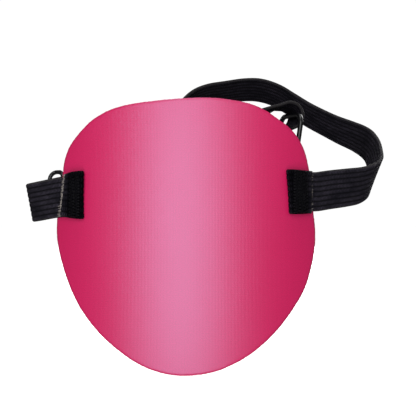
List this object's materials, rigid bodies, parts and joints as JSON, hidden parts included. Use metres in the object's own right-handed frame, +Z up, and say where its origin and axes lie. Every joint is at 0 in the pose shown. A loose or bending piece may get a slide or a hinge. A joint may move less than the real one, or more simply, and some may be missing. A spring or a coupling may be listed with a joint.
{
  "type": "eye patch",
  "caption": "Moulded oval fabric eye patch on an elastic strap, with a sliding adjuster and a strap ring for setting its length.",
  "frame": {"origin": "on the face side, in the middle of the patch, level with its side edges, where it meets the wearer's face", "axes": "+Z up, +Y back towards the wearer's face, +X to the viewer's right"},
  "size_m": [0.1097, 0.1008, 0.0926],
  "materials": {
    "pink_fabric": "satin knit",
    "foam": "soft foam",
    "lining": "matt brushed knit",
    "elastic": "ribbed elastic webbing",
    "thread": "satin thread",
    "plastic": "gloss"
  },
  "bodies": {
    "patch": {"outer_cover": "pink_fabric", "foam_core": "foam", "inner_lining": "lining", "right_strap_end": "elastic", "left_strap_end": "elastic", "right_end_bar_tack": "thread", "left_end_bar_tack": "thread"},
    "strap_loop": {"right_strap": "elastic", "ring_end_bar_tack": "thread", "left_strap": "elastic", "return_strap": "elastic"},
    "adjuster": {"slider_end_loop": "elastic", "slider_end_bar_tack": "thread"},
    "slider": {"slider_frame": "plastic"},
    "ring": {"strap_ring": "plastic"}
  },
  "joints": [
    {"name": "strap_swing", "type": "hinge", "parent": "patch", "child": "strap_loop", "pos_m": [0, 0.0015, 0.012], "axis": [1, 0, 0], "range_deg": [-25, 25], "stiffness_Nm_per_rad": 0.1},
    {"name": "adjuster_slide", "type": "slide", "parent": "strap_loop", "child": "adjuster", "axis": [0.8373, 0.5105, 0.1958], "range_m": [0, 0.02], "deforming": ["return_strap"]},
    {"name": "slider_tilt", "type": "hinge", "parent": "adjuster", "child": "slider", "pos_m": [-0.0383, 0.02207, 0.01183], "axis": [-0.1669, -0.102, 0.9807], "range_deg": [-3, 3]},
    {"name": "ring_swivel", "type": "hinge", "parent": "strap_loop", "child": "ring", "pos_m": [0.0316, 0.052, 0.0242], "axis": [-0.36, 0.933, 0], "range_deg": [-15, 1]}
  ]
}
